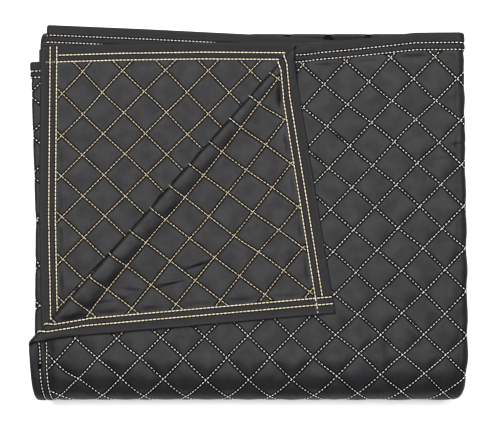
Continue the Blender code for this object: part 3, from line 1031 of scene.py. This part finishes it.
def stitches(cloth, tapes):
    """All the threads that show, in one piece for each face of the cloth."""
    points, faces = [], []
    for obj in [cloth, *tapes]:
        start = len(points)
        points += [vertex.co[:] for vertex in obj.data.vertices]
        faces += [[k + start for k in face.vertices] for face in obj.data.polygons]
    tree = BVHTree.FromPolygons(points, faces)
    pieces = []
    for name, side, radius, cover, row_radius, row_cover in THREADS:
        groups = []
        for surface, places, thick, share in (
            (face_point, quilting_places(), radius, cover),
            (tape_point, row_places(), row_radius, row_cover),
        ):
            u, v, way_u, way_v = places
            seen = exposed_places(tree, surface, u, v, side)
            seen |= np.roll(seen, 1) & np.roll(seen, -1)
            seen &= near(v, LENGTH.bends[1:2], FOLD_MARGIN) == 0
            half = share * STITCH_PITCH / np.hypot(way_u, way_v)
            steps = (half * way_u)[seen], (half * way_v)[seen]
            groups.append((surface, side, thick, u[seen], v[seen], *steps))
        pieces.append(sewn("stitches_" + name, groups))
    return pieces


def new_material(name, roughness, gloss):
    material = bpy.data.materials.new(name)
    material.use_nodes = True
    shader = material.node_tree.nodes["Principled BSDF"]
    shader.inputs["Roughness"].default_value = roughness
    shader.inputs["Specular IOR Level"].default_value = gloss
    return material


class Nodes:
    """A short way to add and join the nodes of one material."""

    def __init__(self, material):
        self.tree = material.node_tree
        self.shader = self.tree.nodes["Principled BSDF"]

    def add(self, kind, **settings):
        node = self.tree.nodes.new(kind)
        for key, value in settings.items():
            setattr(node, key, value)
        return node

    def join(self, source, target):
        self.tree.links.new(source, target)

    def feed(self, name, source):
        self.join(source, self.shader.inputs[name])

    def math(self, operation, first, second):
        node = self.add("ShaderNodeMath", operation=operation)
        for socket, value in zip(node.inputs, (first, second)):
            if isinstance(value, (int, float)):
                socket.default_value = value
            else:
                self.join(value, socket)
        return node.outputs[0]

    def remap(self, value, low, high, new_low, new_high):
        node = self.add("ShaderNodeMapRange", interpolation_type="SMOOTHSTEP")
        numbers = (low, high, new_low, new_high)
        for socket, number in zip(node.inputs[1:5], numbers):
            socket.default_value = number
        self.join(value, node.inputs[0])
        return node.outputs[0]

    def attribute(self, name):
        return self.add("ShaderNodeAttribute", attribute_name=name).outputs["Vector"]

    def parts(self, vector):
        node = self.add("ShaderNodeSeparateXYZ")
        self.join(vector, node.inputs[0])
        return node.outputs

    def noise(self, place, scale, detail, stretch=(1, 1, 1)):
        mapping = self.add("ShaderNodeMapping")
        mapping.inputs["Scale"].default_value = stretch
        node = self.add("ShaderNodeTexNoise")
        node.inputs["Scale"].default_value = scale
        node.inputs["Detail"].default_value = detail
        self.join(place, mapping.inputs["Vector"])
        self.join(mapping.outputs["Vector"], node.inputs["Vector"])
        return node.outputs["Fac"]

    def blend(self, share, first, second):
        node = self.add("ShaderNodeMix", data_type="RGBA")
        for socket, value in zip((node.inputs[6], node.inputs[7]), (first, second)):
            if isinstance(value, tuple):
                socket.default_value = (*value, 1)
            else:
                self.join(value, socket)
        self.join(share, node.inputs[0])
        return node.outputs[2]

    def bump(self, height, distance, strength):
        node = self.add("ShaderNodeBump")
        node.inputs["Distance"].default_value = distance
        node.inputs["Strength"].default_value = strength
        self.join(height, node.inputs["Height"])
        self.feed("Normal", node.outputs["Normal"])


def weave(nodes, u, v, pitch):
    """The height of a plain weave with threads this far apart."""
    turn = 2 * math.pi / pitch
    warp = nodes.math("SINE", nodes.math("MULTIPLY", u, turn), 0)
    weft = nodes.math("SINE", nodes.math("MULTIPLY", v, turn), 0)
    return nodes.math("MULTIPLY", warp, weft)


def charcoal(nodes, lumps, grain, grain_share):
    """The fabric's uneven tone, from its lumps and its grain."""
    tone = nodes.blend(lumps, *CHARCOAL)
    return nodes.blend(nodes.remap(grain, *grain_share), tone, GRAIN_TONE)


def add_gloss(nodes, level, shaded):
    """Gloss, less where the cloth tilts away from the eye, and rough beside stitches."""
    facing = nodes.add("ShaderNodeLayerWeight").outputs["Facing"]
    left = nodes.remap(facing, *TILT_REACH, 1, TILTED_GLOSS_SHARE)
    nodes.feed("Specular IOR Level", nodes.math("MULTIPLY", level, left))
    nodes.feed("Roughness", nodes.remap(shaded, 0, 1, ROUGHNESS, SHADED_ROUGHNESS))


def cloth_material():
    material = new_material("quilted_fabric", ROUGHNESS, EVEN_GLOSS)
    nodes = Nodes(material)
    place = nodes.attribute("cloth")
    u, v, side = nodes.parts(nodes.attribute("pattern"))
    # The quilting's lines get painted shade in the colour beside them: these masks say
    # where, and how dark
    shades = []
    lines = (("ADD", CROSSING_U + CROSSING_V), ("SUBTRACT", CROSSING_U - CROSSING_V))
    for operation, start in lines:
        phase = nodes.math("SUBTRACT", nodes.math(operation, u, v), start)
        off_line = nodes.math("PINGPONG", phase, DIAMOND / 2)
        shades.append(nodes.remap(off_line, *LINE_REACH, 1, 0))
    shaded = nodes.math("MAXIMUM", *shades)
    lumps = nodes.noise(place, *CLOTH_LUMPS)
    grain = nodes.noise(place, *CLOTH_GRAIN)
    slubs = nodes.noise(place, *CLOTH_SLUBS)
    tone = charcoal(nodes, lumps, grain, GRAIN_SHARE)
    tone = nodes.blend(nodes.remap(slubs, *SLUB_SHARE), tone, SLUB_TONE)
    # The painted shade's colour: brownish on the inner face by its golden threads, mostly
    # near black on the outer face
    brown = nodes.remap(side, -1, 1, 1, BROWN_ON_OUTER_FACE)
    brown = nodes.math("MULTIPLY", brown, shaded)
    shade = nodes.blend(brown, SHADED_BLACK, SHADED_BROWN)
    colour = nodes.blend(nodes.math("MULTIPLY", shaded, LINE_SHADE), tone, shade)
    nodes.feed("Base Color", colour)
    level = nodes.remap(lumps, *CLOTH_GLOSS)
    dull = nodes.remap(shaded, 0, 1, 1, SHADED_GLOSS_SHARE)
    add_gloss(nodes, nodes.math("MULTIPLY", level, dull), shaded)
    threads = nodes.math("MULTIPLY", weave(nodes, u, v, CLOTH_WEAVE), 0.5)
    nodes.bump(nodes.math("ADD", threads, grain), *CLOTH_BUMP)
    return material


def tape_material():
    material = new_material("tape_fabric", ROUGHNESS, EVEN_GLOSS)
    nodes = Nodes(material)
    place = nodes.attribute("cloth")
    u, v, depth = nodes.parts(place)
    # Painted shade, dark brown, in the colour beside the tape's two rows of stitches
    shades = []
    for row in (OUTER_ROW, INNER_ROW):
        off_row = nodes.math("ABSOLUTE", nodes.math("SUBTRACT", depth, row), 0)
        shades.append(nodes.remap(off_row, *ROW_REACH, 1, 0))
    shaded = nodes.math("MAXIMUM", *shades)
    lumps = nodes.noise(place, *TAPE_TONE_LUMPS)
    grain = nodes.noise(place, *TAPE_GRAIN)
    tone = charcoal(nodes, lumps, grain, TAPE_GRAIN_SHARE)
    shade = nodes.math("MULTIPLY", shaded, ROW_SHADE)
    nodes.feed("Base Color", nodes.blend(shade, tone, SHADED_BROWN))
    add_gloss(nodes, nodes.remap(shaded, 0, 1, *TAPE_GLOSS), shaded)
    nodes.bump(nodes.math("ADD", weave(nodes, u, v, TAPE_WEAVE), grain), *TAPE_BUMP)
    return material


def thread_material(name, light, dark):
    material = new_material(name, 0.6, 0.2)
    nodes = Nodes(material)
    place = nodes.add("ShaderNodeTexCoord").outputs["Object"]
    own = nodes.noise(nodes.attribute("cloth"), *THREAD_TONES)
    twist = nodes.noise(place, *THREAD_TWIST)
    colour = nodes.blend(nodes.remap(own, *THREAD_TONE), light, dark)
    shade = nodes.remap(twist, *TWIST_SHADE)
    shaded = tuple(THREAD_SHADE * part for part in dark)
    nodes.feed("Base Color", nodes.blend(shade, colour, shaded))
    nodes.bump(twist, *THREAD_BUMP)
    return material


def floor():
    """A plain pale floor that the stack lies on."""
    half = FLOOR_HALF
    corners = [(-half, -half, 0), (half, -half, 0), (half, half, 0), (-half, half, 0)]
    obj = new_object("floor", corners, [[0, 1, 2, 3]], smooth=False)
    material = new_material("floor_paint", 0.9, 0.1)
    nodes = Nodes(material)
    place = nodes.add("ShaderNodeTexCoord").outputs["Object"]
    colour = nodes.blend(nodes.noise(place, *FLOOR_CLOUDS), *FLOOR_COLOURS)
    nodes.feed("Base Color", colour)
    obj.data.materials.append(material)


def lamp(name, place, size, power):
    """A round area lamp that looks at the middle of the stack's foot."""
    light = bpy.data.lights.new(name, "AREA")
    light.shape = "DISK"
    light.size = size
    light.energy = power
    obj = bpy.data.objects.new(name, light)
    bpy.context.scene.collection.objects.link(obj)
    obj.location = place
    obj.rotation_euler = (-Vector(place)).to_track_quat("-Z", "Y").to_euler()


def studio():
    """Soft light from above and behind, and a camera straight above the stack."""
    world = bpy.data.worlds.new("studio")
    world.use_nodes = True
    background = world.node_tree.nodes["Background"]
    background.inputs["Color"].default_value = (1, 1, 1, 1)
    background.inputs["Strength"].default_value = WORLD_STRENGTH
    scene = bpy.context.scene
    scene.world = world
    scene.view_settings.view_transform = "Standard"
    for row in LAMPS:
        lamp(*row)
    camera = bpy.data.cameras.new("camera")
    camera.sensor_width = CAMERA_SENSOR
    camera.lens = CAMERA_LENS
    obj = bpy.data.objects.new("camera", camera)
    scene.collection.objects.link(obj)
    obj.location = CAMERA_PLACE
    scene.camera = obj


def build():
    cloth = quilted_cloth()
    tapes = edge_tapes()
    threads = stitches(cloth, tapes.values())
    cloth.data.materials.append(cloth_material())
    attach(cloth, "root")
    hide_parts("quilt_panel")
    binding = tape_material()
    for node, tape in tapes.items():
        tape.data.materials.append(binding)
        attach(tape, "root")
        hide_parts(node)
    for thread, colours in zip(threads, (PALE, GOLDEN)):
        thread.data.materials.append(thread_material(thread.name + "_thread", *colours))
        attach(thread, "root")
    floor()
    studio()


build()
